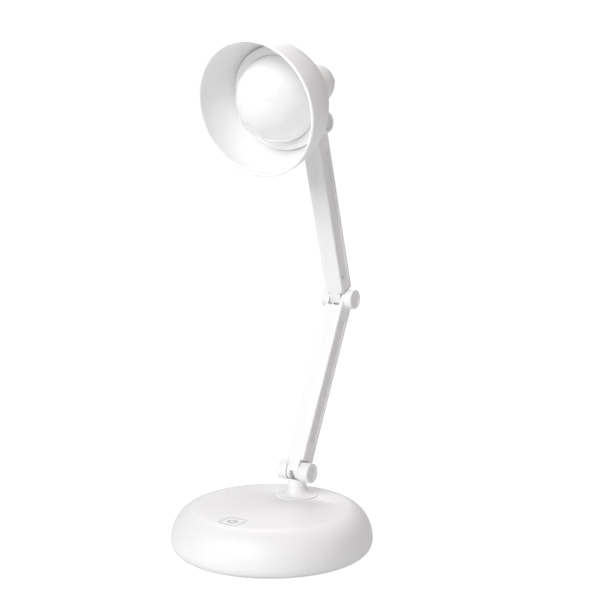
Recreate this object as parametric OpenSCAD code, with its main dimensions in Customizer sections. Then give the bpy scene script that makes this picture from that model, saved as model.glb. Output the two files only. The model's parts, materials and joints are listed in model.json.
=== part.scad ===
// Rechargeable desk lamp: round weighted base, short neck, two arms of one design
// on friction hinges, and a bowl shade with a frosted dome.
// Origin: centre of the base on the table. +Z up, -Y the lamp's front, hinge axes along X.

/* [Base shell] */
// Widest radius of the base
base_r = 60; // [57:0.5:72]
// Height of the base top above the table
base_h = 26; // [25:0.5:34]
// Width of the rolled shoulder round the flat top
shoulder_w = 15.5; // [13:0.5:17]
// Height of the widest line of the side
waist_z = 7; // [6:0.5:9]
// How far the side rolls in below the widest line
side_roll = 5; // [3:0.5:7]
// Thickness of the roof
roof_t = 2.2; // [1.8:0.1:2.8]
// Width of the shell's lower edge
edge_t = 1.3; // [1:0.1:1.8]
// Height of the seam between shell and bottom cover
seam_z = 1.8; // [1.2:0.1:2.4]
// Height of the shadow gap at the seam
seam_gap = 0.3; // [0.2:0.1:0.5]

/* [Bottom cover] */
// Thickness of the anti-slip pad
pad_t = 1.5; // [1.2:0.1:2]
// Depth of the pad's recess in the cover
pad_inset = 1; // [0.8:0.1:1.1]
// Width of the rim round the pad
pad_margin = 4.7; // [4:0.1:6]
// Thickness of the cover
cover_t = 2; // [1.6:0.1:2.6]
// Height of the upstand that centres the shell
upstand_h = 2; // [1.5:0.1:3]
// Thickness of the upstand
upstand_t = 1.6; // [1.2:0.1:2]
// Distance of the screw posts from the shell's inner wall
post_in = 10.8; // [10:0.1:12]
// Radius of the screw posts
post_r = 3.4; // [3:0.1:4]
// Radius of the screw cups in the cover
cup_r = 4.6; // [4.2:0.1:5]
// Length of the cover screws below the head
cover_screw_len = 10; // [8:0.5:12]

/* [Weight and battery] */
// Thickness of the counterweight
weight_t = 5; // [4:0.5:6]
// Distance of the weight's two posts from its edge
weight_post_in = 6.7; // [6:0.1:8]
// Battery length across the lamp
cell_w = 50; // [44:0.5:54]
// Battery width
cell_d = 34; // [30:0.5:36]
// Battery thickness
cell_t = 8; // [6:0.5:9]
// Battery centre in front of the base centre
cell_front = 8; // [6:0.5:10]
// Thickness of the foam under the battery
foam_t = 1; // [0.5:0.1:1.5]

/* [Boards] */
// Width of the control board
board_w = 32; // [30:0.5:34]
// Depth of the control board
board_d = 12; // [11:0.5:12.5]
// Thickness of the control board
board_t = 1.2; // [1:0.1:1.6]
// Height of the control board above the cover
board_lift = 3.7; // [3.5:0.1:5]
// Distance between the control board's two screws
board_screw_span = 26; // [24:0.5:27]
// Width of the charging socket
socket_w = 8.94; // [8.5:0.01:9.2]
// Height of the charging socket
socket_h = 3.26; // [3:0.01:3.4]
// Depth of the charging socket
socket_d = 7.35; // [7:0.05:8]
// Metal thickness of the charging socket
socket_wall = 0.35; // [0.25:0.01:0.45]
// How far the socket's mouth lies inside the widest radius
socket_in = 1.7; // [1.4:0.1:2.2]
// Distance of the touch mark from the edge of the flat top
touch_in = 6.1; // [5.5:0.1:7.5]
// Width of the touch board
touch_w = 24; // [23:0.5:28]
// Depth of the touch board
touch_d = 14; // [12:0.5:16]
// Thickness of the touch board
touch_t = 1; // [0.8:0.1:1.2]
// Gap between the touch board and the roof
touch_gap = 6; // [5.5:0.1:6.5]
// Coil radius of the contact spring
spring_r = 3.2; // [2.5:0.1:4]
// Wire radius of the contact spring
spring_wire_r = 0.35; // [0.3:0.05:0.45]
// Turns of the contact spring
spring_turns = 5; // [4:1:6]

/* [Neck] */
// Distance of the neck from the edge of the flat top
neck_in = 18.2; // [17:0.1:19.5]
// Height of the base hinge above the base top
neck_h = 15; // [14.5:0.1:20]
// Radius of the neck's post
neck_r = 5.8; // [5.5:0.1:6]
// Radius of the neck's foot
neck_foot_r = 12.5; // [11.5:0.1:14]
// Thickness of the foot's edge
neck_foot_t = 0.6; // [0.4:0.1:1.5]
// Radius of the spigot through the roof
spigot_r = 5; // [4.6:0.1:5.2]
// Length of the spigot below the base top
spigot_len = 9.5; // [9:0.1:10]
// Radius of the wire bore
neck_bore_r = 2.6; // [2:0.1:2.8]
// Radius of the washer under the roof
neck_washer_r = 9; // [8.5:0.1:9.5]
// Thickness of the washer under the roof
neck_washer_t = 1; // [0.8:0.1:1.2]
// Width across flats of the neck nut
neck_nut_w = 16; // [15:0.1:17]
// Height of the neck nut
neck_nut_h = 4.5; // [4:0.1:5]

/* [Hinges] */
// Radius of the ears
ear_r = 6.1; // [6:0.05:6.6]
// Distance of the ears' outer faces from the middle
ear_x = 11.1; // [10.9:0.05:12]
// Radius of the ears' outer edges
ear_edge_r = 0.5; // [0.3:0.05:0.7]
// Distance of the ears' inner faces from the middle
slot_x = 4.4; // [4.3:0.05:4.5]
// Radius of the tongue's round end
knuckle_r = 5.6; // [5.4:0.05:5.8]
// Thickness of the friction washers
friction_t = 0.5; // [0.4:0.05:0.5]
// Play at each face of a friction washer
washer_play = 0.025; // [0.02:0.005:0.04]
// Radius of the friction washers
friction_r = 4.6; // [4:0.1:5]
// Gap between the tongue's end and the slot floor
slot_gap = 0.5; // [0.4:0.05:0.7]
// Gap between the ears and the next arm's shoulder
shoulder_gap = 0.7; // [0.6:0.05:1.1]
// Half width of the wire slot in the tongue
wire_slot_x = 1.7; // [1.6:0.05:2]
// How far below the axis the wire slot opens at the tongue's front
wire_slot_in = 1; // [0.5:0.1:2.5]
// Radius of the hub in the wire slot
hub_r = 2.9; // [2.7:0.05:3.1]
// Wall of the tongue round the wire slot
knuckle_wall = 1.2; // [1:0.05:1.3]
// Radius of the hinge bolts
bolt_r = 1.5; // [1.4:0.05:1.6]
// Radial play of the bolts in the tongues and ears
bolt_play = 0.05; // [0.02:0.01:0.09]
// Radius of the bolt head
bolt_head_r = 2.8; // [2.6:0.05:2.9]
// Height of the bolt head
bolt_head_h = 1.5; // [1.4:0.05:1.6]
// Width across flats of the hinge nuts
nut_w = 5.5; // [5.3:0.1:5.6]
// Height of the hinge nuts
nut_h = 2.1; // [1.9:0.05:2.2]
// Thickness of the spring washer under the bolt head
spring_washer_t = 0.6; // [0.5:0.05:0.7]
// Distance of the bolt's seat from the middle
seat_x = 6.7; // [6.6:0.05:6.8]
// Radius of the end caps
cap_r = 4.4; // [4.2:0.05:4.6]
// Thickness of the end caps
cap_t = 0.9; // [0.8:0.05:1]
// Distance of the end caps inside the ears' faces
cap_in = 1.1; // [0.9:0.05:1.15]
// Depth of the dish in the end caps
cap_dish = 0.3; // [0.2:0.05:0.4]
// Width of the flat rim round the dish
cap_rim = 0.8; // [0.5:0.1:1.2]
// Furthest forward lean of the lower arm in degrees
lean_front = 60; // [45:1:62]

/* [Arms] */
// Length of the lower arm between its hinges
lower_len = 111; // [95:1:130]
// Length of the upper arm between its hinges
upper_len = 114; // [95:1:130]
// Width of the arms
arm_w = 12.5; // [12:0.1:13]
// Distance of the arm's back from the hinge axis
arm_back = 5.5; // [5.3:0.05:5.7]
// Corner radius of the arm's section
arm_edge_r = 1; // [0.6:0.1:1.2]
// Front wall of the arms
arm_front_t = 1.4; // [1.2:0.05:1.5]
// Half width of the hollow in the arms
arm_hollow_x = 3.2; // [3.1:0.05:3.3]
// Height of the arm's lower shoulder above the hinge axis
shoulder_z = 6.3; // [6.2:0.05:6.8]
// Depth of the side recesses
recess_t = 1.7; // [1.4:0.05:1.8]
// Width of the front strip beside the recess
recess_front = 1.5; // [1.3:0.05:1.8]
// Width of the rear strip beside the recess
recess_rear = 1.9; // [1.85:0.05:2.1]
// Corner radius of the recess ends
recess_r = 3.8; // [2:0.1:3.8]
// Distance of the recess from the elbow
recess_elbow = 14; // [12:0.5:18]
// Distance of the recess from the far hinge
recess_far = 17.5; // [14:0.5:24]
// Thickness of the rear covers
rear_cover_t = 1.4; // [1.3:0.05:1.45]
// Half width of the rear covers
rear_cover_x = 3.8; // [3.7:0.05:3.85]
// Distance of the cover screws from the hinges
cover_screw_in = 23; // [21:0.5:30]
// Radius of the screw posts in the arms
arm_post_r = 1.9; // [1.7:0.05:1.95]
// Radius of one wire
wire_r = 0.5; // [0.4:0.05:0.55]

/* [Shade] */
// Radius of the shade's rim
rim_r = 39.6; // [38.5:0.1:44]
// Depth of the shade's curve
bowl_d = 47.8; // [47:0.1:52]
// Thickness of the shade
shade_t = 1.9; // [1.6:0.1:2.1]
// Distance of the flat seat in front of the curve's end
seat_in = 3; // [2.8:0.1:3.3]
// Thickness of the shade's back wall
seat_t = 2.2; // [2:0.1:2.4]
// Width of the ledge
ledge_w = 1.7; // [1.5:0.05:1.8]
// Thickness of the ledge
ledge_t = 1.6; // [1.4:0.05:1.7]

/* [Dome and ring] */
// Radius of the frosted dome
dome_r = 25.3; // [25:0.1:25.5]
// Wall of the dome
dome_t = 1.4; // [1.2:0.1:1.6]
// Width of the dome's lip
lip_w = 1.7; // [1.5:0.1:1.75]
// Thickness of the dome's lip
lip_t = 1; // [0.9:0.05:1.05]
// Radius of the ring
ring_r = 30.4; // [30.2:0.1:30.8]
// Height of the ring in front of the ledge
ring_h = 2.4; // [2.35:0.05:2.6]
// Thickness of the ring's front
ring_t = 1.1; // [1:0.05:1.15]
// Gap between the ring and the shade at the ledge
ring_gap = 0.3; // [0.25:0.05:0.4]
// Radius of the light board
led_board_r = 21; // [20:0.1:22]
// Thickness of the light board
led_board_t = 1.6; // [1.4:0.1:1.8]
// Distance of the light board's front behind the ledge
led_in = 3.4; // [3.3:0.1:4.2]
// Number of light chips
led_n = 12; // [8:1:16]
// Radius of the ring of light chips
led_ring_r = 17.5; // [17.2:0.1:18]
// Distance of the light board's screws from the axis
led_screw_r = 13; // [12.8:0.1:13.2]

/* [Head housing] */
// Height of the shade's axis above the head hinge
axis_up = 22; // [21.5:0.1:24]
// Distance of the shade's seat in front of the head hinge
seat_front = 10.3; // [10:0.1:11]
// Distance of the housing's axis below the shade's axis
housing_drop = 0.8; // [0.4:0.1:0.9]
// Radius of the housing
housing_r = 12.6; // [12.4:0.1:12.8]
// Wall of the housing
housing_t = 1.8; // [1.6:0.1:1.9]
// Straight length of the housing
housing_len = 14.4; // [14:0.1:16]
// Length of the housing's domed end
housing_dome = 16.2; // [14:0.1:18]
// Distance of the housing's screws from its axis
housing_screw_x = 6.4; // [6.2:0.1:6.6]

/* [Pose] */
// Backward lean of the lower arm in degrees
lower_lean = 25.5; // [5:0.5:40]
// Forward lean of the upper arm in degrees
upper_lean = 16; // [0:0.5:30]
// Downward tilt of the shade in degrees
head_tilt = 14; // [0:0.5:30]

/* [Hidden] */
$fn = 72;
eps = 0.5; // overlap of cutting bodies
fit = 0.1; // gap between fixed pieces that fit into each other
grip = 0.05; // radial gap between a screw's core and its post

// screw sizes: core radius, clearance radius, head radius, head height
base_screw = [1.2, 1.6, 2.6, 1.8];
weight_screw = [1.2, 1.6, 4.4, 1.2];
board_screw = [0.9, 1.15, 1.9, 1.3];
arm_screw = [0.7, 0.95, 1.6, 0.9];
board_screw_len = 4.5;
weight_screw_len = 6;
arm_screw_len = 6.5;
housing_screw_len = 9;
post_root = 0.6; // how far posts run into the wall that carries them

// colours
white = [0.95, 0.95, 0.95];
pale = [0.9, 0.92, 0.95];
steel = [0.75, 0.76, 0.78];
iron = [0.4, 0.4, 0.42];
green = [0.1, 0.4, 0.25];
black = [0.12, 0.12, 0.12];
grey = [0.45, 0.45, 0.47];
red = [0.7, 0.1, 0.08];
amber = [0.95, 0.85, 0.4];
silver = [0.8, 0.81, 0.83];

// base, worked out
under_z = pad_t - pad_inset;
foot_r = base_r - side_roll;
flat_r = base_r - shoulder_w;
pad_r = foot_r - pad_margin;
roof_z = base_h - roof_t;
cover_top = pad_t + cover_t;
edge_z = seam_z + seam_gap;
inner_r = side_r(edge_z) - edge_t;
post_ring = inner_r - post_in;
cup_top = cover_top + 2;
head_seat = pad_t + base_screw[3] + 0.4; // seat of the cover screws in their cups
weight_gap = 0.9;
weight_r = post_ring - cup_r - weight_gap;
weight_top = cover_top + weight_t;
weight_post_r = 2.5;
foam_top = weight_top + foam_t;
cell_y = -cell_front;
cell_z = foam_top + cell_t / 2;
over_cell = foam_top + cell_t + wire_r + 0.6; // height of the wires that pass the battery's corner

neck_y = flat_r - neck_in;
hinge_y = neck_y;
weight_post_y = weight_r - weight_post_in;
wire_ring = post_ring - 8.5; // the wires pass inside the posts

// boards, worked out
board_z = cover_top + board_lift;
board_top = board_z + board_t;
board_rear = inner_r - 3.3;
board_y = board_rear - board_d / 2;
board_front = board_rear - board_d;
wire_z = board_top + wire_r + 0.02; // height of the wires that lie on the control board
board_lie = [[-2, 1.4], [0.8, 0.25], [1.8, 0], [2.8, 0], [3.8, 0]]; // a wire's last points there
socket_y = base_r - socket_in - socket_d;
socket_z = board_top + socket_h / 2;
touch_y = touch_in - flat_r;
touch_top = roof_z - touch_gap;
touch_screw_x = touch_w / 2 - 3;

// hinges, worked out
tongue_x = slot_x - friction_t - 2 * washer_play;
slot_floor = knuckle_r + slot_gap;
shoulder_r = ear_r + shoulder_gap;
bore_r = bolt_r + bolt_play;
cap_x = ear_x - cap_in - cap_t;
hinge_z = base_h + neck_h;

// arms, worked out
arm_x = arm_w / 2;
arm_front = ear_r;
web_x = arm_x - recess_t;
hollow_front = arm_front - arm_front_t;
cover_y = arm_back - rear_cover_t;
arm_wire_x = arm_hollow_x - wire_r;
hollow_lo = 10;
hollow_hi = 9; // distance of the hollow's end from the fork's hinge

// head, worked out in a frame at the head hinge, +Y backward along the shade's axis
seat_s = bowl_d - seat_in;
rim_front = seat_s + seat_front;
seat_y = -seat_front;
housing_up = axis_up - housing_drop;
housing_in = housing_r - housing_t;
dome_y = seat_y + housing_len; // where the housing's domed end begins
seat_r = bowl_r(seat_s);
ledge_r = ring_r + ring_gap; // the bowl's inner radius at the ledge
ledge_s = (bowl_d - shade_t) * sqrt(1 - pow(ledge_r / (rim_r - shade_t), 2));
ledge_in = ledge_r - ledge_w;
led_s = ledge_s + led_in;
ring_s = ledge_s - ring_h;
lip_r = dome_r + lip_w;
spigot_h = 2;
dome_s = ring_s + ring_t; // depth of the dome's widest line
lip_back = dome_s + lip_t;
hook_top = ledge_s + ledge_t + 0.2;
hook_r = inner_bowl_r(hook_top) - 0.15;

// wire routes: points chosen by hand, given from the pieces that they join
neck_route = concat([for (i = [4:-1:0]) [board_front + board_lie[i][0], wire_z + board_lie[i][1]]],
    [[neck_y + 5, base_h - 13], [neck_y, base_h - 10], [neck_y, base_h - 2],
    [neck_y, hinge_z - slot_floor - 1]]);
head_route = [[0, 4], [0, 9], [-1.5, 14], [-6, axis_up - 2], [seat_y - 1, axis_up],
    [seat_y - 6, axis_up], [led_s + led_board_t - rim_front, axis_up]];
cell_route = concat([for (x = [0, 0.8, 1.6]) [cell_w / 2 + x, 4, cell_z]],
    [[cell_w / 2 + 4.5, 9, 12.8], round_base(40, 12), round_base(60, 11.2)], board_end(11.5));
touch_route = concat([for (x = [4, 2, 0]) [x - touch_w / 2, touch_y + 4.9, touch_top + wire_r]],
    [round_base(236, over_cell), round_base(212, over_cell), round_base(170, 15.5), round_base(137, 13),
    round_base(118, 11.2)], board_end(-11.5));

// point of a wire inside the base's posts, at an angle round the centre
function round_base(a, z) = [wire_ring * cos(a), wire_ring * sin(a), z];

// last points of a wire that ends on the control board at x
function board_end(x) = [for (p = board_lie) [x, board_front + p[0], wire_z + p[1]]];

// ---- outlines ----

// radius of the side at height z, below the widest line
function side_r(z) = foot_r + side_roll * sqrt(1 - pow((waist_z - z) / (waist_z - under_z), 2));

// outer and inner radius of the bowl at depth s behind the rim
function bowl_r(s) = rim_r * sqrt(1 - pow(s / bowl_d, 2));
function inner_bowl_r(s) = (rim_r - shade_t) * sqrt(1 - pow(s / (bowl_d - shade_t), 2));

// points of an ellipse's arc from angle a to b
function arc(cx, cy, rx, ry, a, b, n) =
    [for (i = [0:n]) [cx + rx * cos(a + (b - a) * i / n), cy + ry * sin(a + (b - a) * i / n)]];

// points of the rolled side from height a to b
function side(a, b, n) = [for (i = [0:n]) let (z = a + (b - a) * i / n) [side_r(z), z]];

// rectangle with round corners
module rounded(x0, x1, y0, y1, r) {
    translate([x0 + r, y0])
        square([x1 - x0 - 2 * r, y1 - y0]);
    translate([x0, y0 + r])
        square([x1 - x0, y1 - y0 - 2 * r]);
    for (x = [x0 + r, x1 - r], y = [y0 + r, y1 - r])
        translate([x, y])
            circle(r);
}

// slot with round ends along x
module stadium(w, h) {
    square([w - h, h], center = true);
    for (x = [-1, 1])
        translate([x * (w - h) / 2, 0])
            circle(h / 2);
}

// ---- helpers ----

// cylinder along x from x0 to x1
module rod_x(x0, x1, r) {
    translate([x0, 0, 0])
        rotate([0, 90, 0])
            cylinder(r = r, h = x1 - x0);
}

// box from its two corners
module box(a, b) {
    translate(a)
        cube(b - a);
}

// revolve about the y direction: profile x is the radius, profile y runs along +y
module turned_y() {
    rotate([-90, 0, 0])
        rotate_extrude()
            children();
}

module mirrored_x() {
    children();
    mirror([1, 0, 0])
        children();
}

module at_posts() {
    for (i = [0:3])
        rotate([0, 0, 45 + 90 * i])
            translate([post_ring, 0, 0])
                children();
}

module at_weight_posts() {
    for (a = [90, 270])
        rotate([0, 0, a])
            translate([weight_post_y, 0, 0])
                children();
}

// pan-head screw: head below z = 0, core up
module screw(size, len) {
    cylinder(r = size[0], h = len, $fn = 32);
    translate([0, 0, -size[3]])
        cylinder(r = size[2], h = size[3], $fn = 32);
}

// smooth run through hand-set points
function blend(a, b, c, d, t) = 0.5 * (2 * b + (c - a) * t + (2 * a - 5 * b + 4 * c - d) * t * t
    + (3 * b - a - 3 * c + d) * t * t * t);
function smooth(p, n) = [for (i = [0:len(p) - 2], k = [0:n - 1])
    blend(p[max(i - 1, 0)], p[i], p[i + 1], p[min(i + 2, len(p) - 1)], k / n), p[len(p) - 1]];
function unit(v) = v / norm(v);
function heading(p, i) = unit(p[min(i + 1, len(p) - 1)] - p[max(i - 1, 0)]);

// round tube along a path that never runs along up
module tube(path, r, up, sides) {
    n = len(path);
    rings = [for (i = [0:n - 1]) let (t = heading(path, i), s = unit(cross(t, up)), q = cross(s, t))
        for (j = [0:sides - 1])
            path[i] + r * (cos(360 * j / sides) * s + sin(360 * j / sides) * q)];
    walls = [for (i = [0:n - 2], j = [0:sides - 1]) let (k = (j + 1) % sides)
        each [[i * sides + j, i * sides + k, (i + 1) * sides + k],
            [i * sides + j, (i + 1) * sides + k, (i + 1) * sides + j]]];
    first = [for (j = [1:sides - 2]) [0, j + 1, j]];
    last = [for (j = [1:sides - 2]) [0, j, j + 1] + (n - 1) * sides * [1, 1, 1]];
    polyhedron(points = rings, faces = concat(walls, first, last));
}

// pair of wires in the yz plane, side by side
module wire_pair(route) {
    flat = smooth(route, 4);
    for (x = [-0.7, 0.7])
        tube([for (p = flat) [x, p[0], p[1]]], wire_r, [1, 0, 0], 8);
}

// pair of wires along a free route, one above the other
module stacked_wires(route) {
    path = smooth(route, 4);
    for (z = [0, 2.6 * wire_r])
        tube([for (p = path) p + [0, 0, z]], wire_r, [0, 0, 1], 8);
}

// ---- frames of the moving bodies ----

module at_lower_arm() {
    translate([0, hinge_y, hinge_z])
        rotate([-lower_lean, 0, 0])
            children();
}

module at_elbow() {
    at_lower_arm()
        translate([0, 0, lower_len])
            children();
}

module at_upper_arm() {
    at_elbow()
        rotate([lower_lean + upper_lean, 0, 0])
            children();
}

module at_head_hinge() {
    at_upper_arm()
        translate([0, 0, upper_len])
            children();
}

module at_head() {
    at_head_hinge()
        rotate([head_tilt - upper_lean, 0, 0])
            children();
}

// ---- hinge forms, hinge axis along x at the origin ----

// two ears of a fork, the arm's body hangs below
module ears() {
    e = ear_edge_r;
    mirrored_x()
        rotate([0, 90, 0])
            rotate_extrude()
                polygon(concat([[0, slot_x], [ear_r, slot_x]],
                    arc(ear_r - e, ear_x - e, e, e, 0, 90, 5), [[0, ear_x]]));
}

// straight slot between an arm's ears
module fork_slot(wide) {
    box([-slot_x, -wide, -slot_floor], [slot_x, wide, wide]);
}

// slot between the neck's ears, its floor rises in front as far as the arm's lean allows
module neck_slot(wide) {
    ramp_y = -slot_floor * (1 - sin(lean_front)) / cos(lean_front);
    ramp_z = (wide * cos(lean_front) - slot_floor) / sin(lean_front);
    translate([-slot_x, 0, 0])
        rotate([90, 0, 90])
            linear_extrude(2 * slot_x)
                polygon([[-wide, ramp_z], [ramp_y, -slot_floor], [wide, -slot_floor],
                    [wide, wide], [-wide, wide]]);
}

// bolt bore, seats for head and nut, cap recesses
module fork_bores() {
    rod_x(-ear_x - eps, ear_x + eps, bore_r, $fn = 48);
    rod_x(seat_x, ear_x + eps, bolt_head_r + 0.2);
    rod_x(-ear_x - eps, -seat_x, (nut_w + fit) / sqrt(3), $fn = 6);
    mirrored_x()
        rod_x(cap_x, ear_x + eps, cap_r + fit);
}

// tongue with a stem up to z = top, hollow for the wires round the hub
module tongue(top) {
    rod_x(-tongue_x, tongue_x, knuckle_r);
    box([-tongue_x, -knuckle_r, 0], [tongue_x, min(knuckle_r, arm_back), top]);
}

module tongue_cuts(top) {
    inside = knuckle_r - knuckle_wall;
    difference() {
        union() {
            rod_x(-wire_slot_x, wire_slot_x, inside);
            box([-wire_slot_x, -inside, 0], [wire_slot_x, inside, top]);
            box([-wire_slot_x, -knuckle_r - eps, -knuckle_r - eps],
                [wire_slot_x, knuckle_r + eps, -wire_slot_in]);
        }
        rod_x(-wire_slot_x - eps, wire_slot_x + eps, hub_r);
    }
    rod_x(-slot_x, slot_x, bore_r, $fn = 48);
}

// ---- hinge hardware, shared by the three hinges ----

module hinge_bolt() {
    head_x = seat_x + spring_washer_t;
    color(steel)
        difference() {
            union() {
                rod_x(-seat_x - nut_h, head_x, bolt_r, $fn = 48);
                rod_x(head_x, head_x + bolt_head_h, bolt_head_r);
            }
            rod_x(head_x + bolt_head_h - 0.9, head_x + bolt_head_h + eps, 1.15, $fn = 6);
        }
}

module hinge_nut() {
    color(steel)
        difference() {
            rod_x(-seat_x - nut_h, -seat_x, nut_w / sqrt(3), $fn = 6);
            rod_x(-seat_x - nut_h - eps, -seat_x + eps, bolt_r + 0.02, $fn = 48);
        }
}

module hinge_spring_washer() {
    color(steel)
        difference() {
            rod_x(seat_x, seat_x + spring_washer_t, bolt_head_r);
            rod_x(seat_x - eps, seat_x + spring_washer_t + eps, bolt_r + 0.1, $fn = 48);
            box([seat_x - eps, -0.3, 0], [seat_x + spring_washer_t + eps, 0.3, bolt_head_r + eps]);
        }
}

module hinge_friction_washers() {
    color(grey)
        mirrored_x()
            translate([tongue_x + washer_play, 0, 0])
                difference() {
                    rod_x(0, friction_t, friction_r);
                    rod_x(-eps, friction_t + eps, bolt_r + 0.1, $fn = 48);
                }
}

module hinge_caps() {
    dish_in = cap_r - cap_rim;
    dish_r = (dish_in * dish_in + cap_dish * cap_dish) / (2 * cap_dish); // radius of the hollow
    color(white)
        mirrored_x()
            rotate([0, 90, 0])
                rotate_extrude()
                    difference() {
                        translate([0, cap_x])
                            square([cap_r, cap_t]);
                        translate([0, cap_x + cap_t - cap_dish + dish_r])
                            circle(dish_r, $fn = 360);
                    }
}

// ---- arms, hinge axis of the tongue at the origin, fork at z = len ----

module arm_section() {
    rounded(-arm_x, arm_x, -arm_front, arm_back, arm_edge_r);
}

// long hollow with round corners in one side
module side_recess(z0, z1) {
    translate([web_x, 0, 0])
        rotate([90, 0, 90])
            linear_extrude(recess_t + eps)
                rounded(-arm_front + recess_front, arm_back - recess_rear, z0, z1, recess_r);
}

module arm_posts(len) {
    for (z = [cover_screw_in, len - cover_screw_in])
        translate([0, 0, z])
            rotate([90, 0, 0])
                children();
}

module arm_frame(len, recess_lo, recess_hi) {
    color(white)
        difference() {
            union() {
                difference() {
                    translate([0, 0, shoulder_z])
                        linear_extrude(len - shoulder_z)
                            arm_section();
                    rod_x(-arm_x - eps, arm_x + eps, shoulder_r);
                    mirrored_x()
                        side_recess(recess_lo, len - recess_hi);
                    box([-arm_hollow_x, -hollow_front, hollow_lo],
                        [arm_hollow_x, arm_back + eps, len - hollow_hi]);
                }
                tongue(hollow_lo);
                arm_posts(len)
                    translate([0, 0, -cover_y])
                        cylinder(r = arm_post_r, h = cover_y + hollow_front + post_root);
                translate([0, 0, len])
                    ears();
            }
            translate([0, cover_y, 0])
                rotate([-90, 0, 0])
                    linear_extrude(rear_cover_t + eps)
                        rounded(-rear_cover_x - fit, rear_cover_x + fit,
                            -len + hollow_hi - 0.5, -hollow_lo + 1, 2);
            tongue_cuts(hollow_lo + eps);
            box([-wire_slot_x, -wire_slot_x, len - hollow_hi - eps],
                [wire_slot_x, wire_slot_x, len - slot_floor + eps]);
            arm_posts(len)
                translate([0, 0, -cover_y - eps])
                    cylinder(r = arm_screw[0] + grip, h = arm_screw_len + eps, $fn = 32);
            translate([0, 0, len]) {
                fork_slot(arm_front + 2);
                fork_bores();
            }
        }
}

module arm_cover(len) {
    color(white)
        difference() {
            translate([0, cover_y, 0])
                rotate([-90, 0, 0])
                    linear_extrude(rear_cover_t)
                        rounded(-rear_cover_x, rear_cover_x,
                            -len + hollow_hi - 0.5 + fit, -hollow_lo + 1 - fit, 2 - fit);
            arm_posts(len)
                translate([0, 0, -arm_back - eps])
                    cylinder(r = arm_screw[1], h = rear_cover_t + 2 * eps, $fn = 32);
            arm_posts(len)
                translate([0, 0, -arm_back - eps])
                    cylinder(r = arm_screw[2] + fit, h = arm_screw[3] + eps);
        }
}

module arm_screws(len) {
    color(steel)
        arm_posts(len)
            translate([0, 0, -arm_back + arm_screw[3]])
                screw(arm_screw, arm_screw_len - rear_cover_t + arm_screw[3] - 0.4);
}

module arm_wires(len) {
    colours = [red, black];
    for (i = [0, 1])
        color(colours[i])
            translate([arm_wire_x * (2 * i - 1), 0, hollow_lo + 0.5])
                cylinder(r = wire_r, h = len - hollow_lo - hollow_hi - 1, $fn = 24);
}

// ---- base ----

module base_shell() {
    outer = concat([[0, base_h]], arc(flat_r, waist_z, shoulder_w, base_h - waist_z, 90, 0, 18),
        side(waist_z - 0.6, edge_z, 6));
    inner = concat([[inner_r, edge_z]],
        arc(flat_r, waist_z, inner_r - flat_r, roof_z - waist_z, 0, 90, 12), [[0, roof_z]]);
    color(white)
        difference() {
            union() {
                rotate_extrude($fn = 120)
                    polygon(concat(outer, inner));
                at_posts()
                    translate([0, 0, cup_top])
                        cylinder(r = post_r, h = roof_z + post_root - cup_top);
                mirrored_x()
                    translate([touch_screw_x, touch_y, touch_top])
                        cylinder(r = 2.2, h = touch_gap + post_root);
            }
            at_posts()
                translate([0, 0, cup_top - eps])
                    cylinder(r = base_screw[0] + grip, h = cover_screw_len + eps, $fn = 32);
            mirrored_x()
                translate([touch_screw_x, touch_y, touch_top - eps])
                    cylinder(r = board_screw[0] + grip, h = board_screw_len + eps, $fn = 32);
            translate([0, neck_y, roof_z - eps])
                cylinder(r = spigot_r + fit, h = roof_t + 2 * eps);
            mirrored_x()
                translate([neck_foot_r * 0.68, neck_y, roof_z - eps])
                    cylinder(r = 1 + fit, h = roof_t + 2 * eps, $fn = 32);
            translate([0, socket_y, socket_z])
                rotate([-90, 0, 0])
                    linear_extrude(socket_d + 2 * socket_in)
                        stadium(socket_w + 0.7, socket_h + 0.7);
        }
}

module base_cover() {
    rim_in = inner_r - fit;
    plate = concat([[0, cover_top], [0, pad_t], [pad_r + fit, pad_t], [pad_r + fit, under_z]],
        side(under_z, seam_z, 6), [[rim_in, seam_z], [rim_in, cover_top + upstand_h],
        [rim_in - upstand_t, cover_top + upstand_h], [rim_in - upstand_t, cover_top]]);
    color(white)
        difference() {
            union() {
                rotate_extrude($fn = 120)
                    polygon(plate);
                at_posts()
                    translate([0, 0, cover_top - eps])
                        cylinder(r = cup_r, h = cup_top - cover_top + eps);
                at_weight_posts()
                    translate([0, 0, cover_top - eps])
                        cylinder(r = weight_post_r, h = weight_t + eps);
                mirrored_x()
                    translate([board_screw_span / 2, board_y, cover_top - eps])
                        cylinder(r = 2.6, h = board_lift + eps);
            }
            at_posts()
                translate([0, 0, -eps])
                    cylinder(r = base_screw[1], h = cup_top + 2 * eps, $fn = 32);
            at_posts()
                translate([0, 0, -eps])
                    cylinder(r = base_screw[2] + 0.3, h = head_seat + eps);
            at_weight_posts()
                translate([0, 0, weight_top - weight_screw_len])
                    cylinder(r = weight_screw[0] + grip, h = weight_screw_len + eps, $fn = 32);
            mirrored_x()
                translate([board_screw_span / 2, board_y, board_z - board_screw_len])
                    cylinder(r = board_screw[0] + grip, h = board_screw_len + eps, $fn = 32);
        }
}

module base_cover_screws() {
    color(steel)
        at_posts()
            translate([0, 0, head_seat])
                screw(base_screw, cover_screw_len);
}

module anti_slip_pad() {
    color(grey)
        cylinder(r = pad_r, h = pad_t, $fn = 120);
}

module counterweight() {
    color(iron)
        difference() {
            translate([0, 0, cover_top])
                cylinder(r = weight_r, h = weight_t, $fn = 120);
            at_weight_posts()
                translate([0, 0, cover_top - eps])
                    cylinder(r = weight_post_r + 0.3, h = weight_t + 2 * eps);
        }
}

module weight_screws() {
    color(steel)
        at_weight_posts()
            translate([0, 0, weight_top])
                mirror([0, 0, 1])
                    screw(weight_screw, weight_screw_len - 0.5);
}

module battery_foam() {
    color(black)
        translate([0, cell_y, weight_top])
            linear_extrude(foam_t)
                square([cell_w - 4, cell_d - 4], center = true);
}

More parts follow.
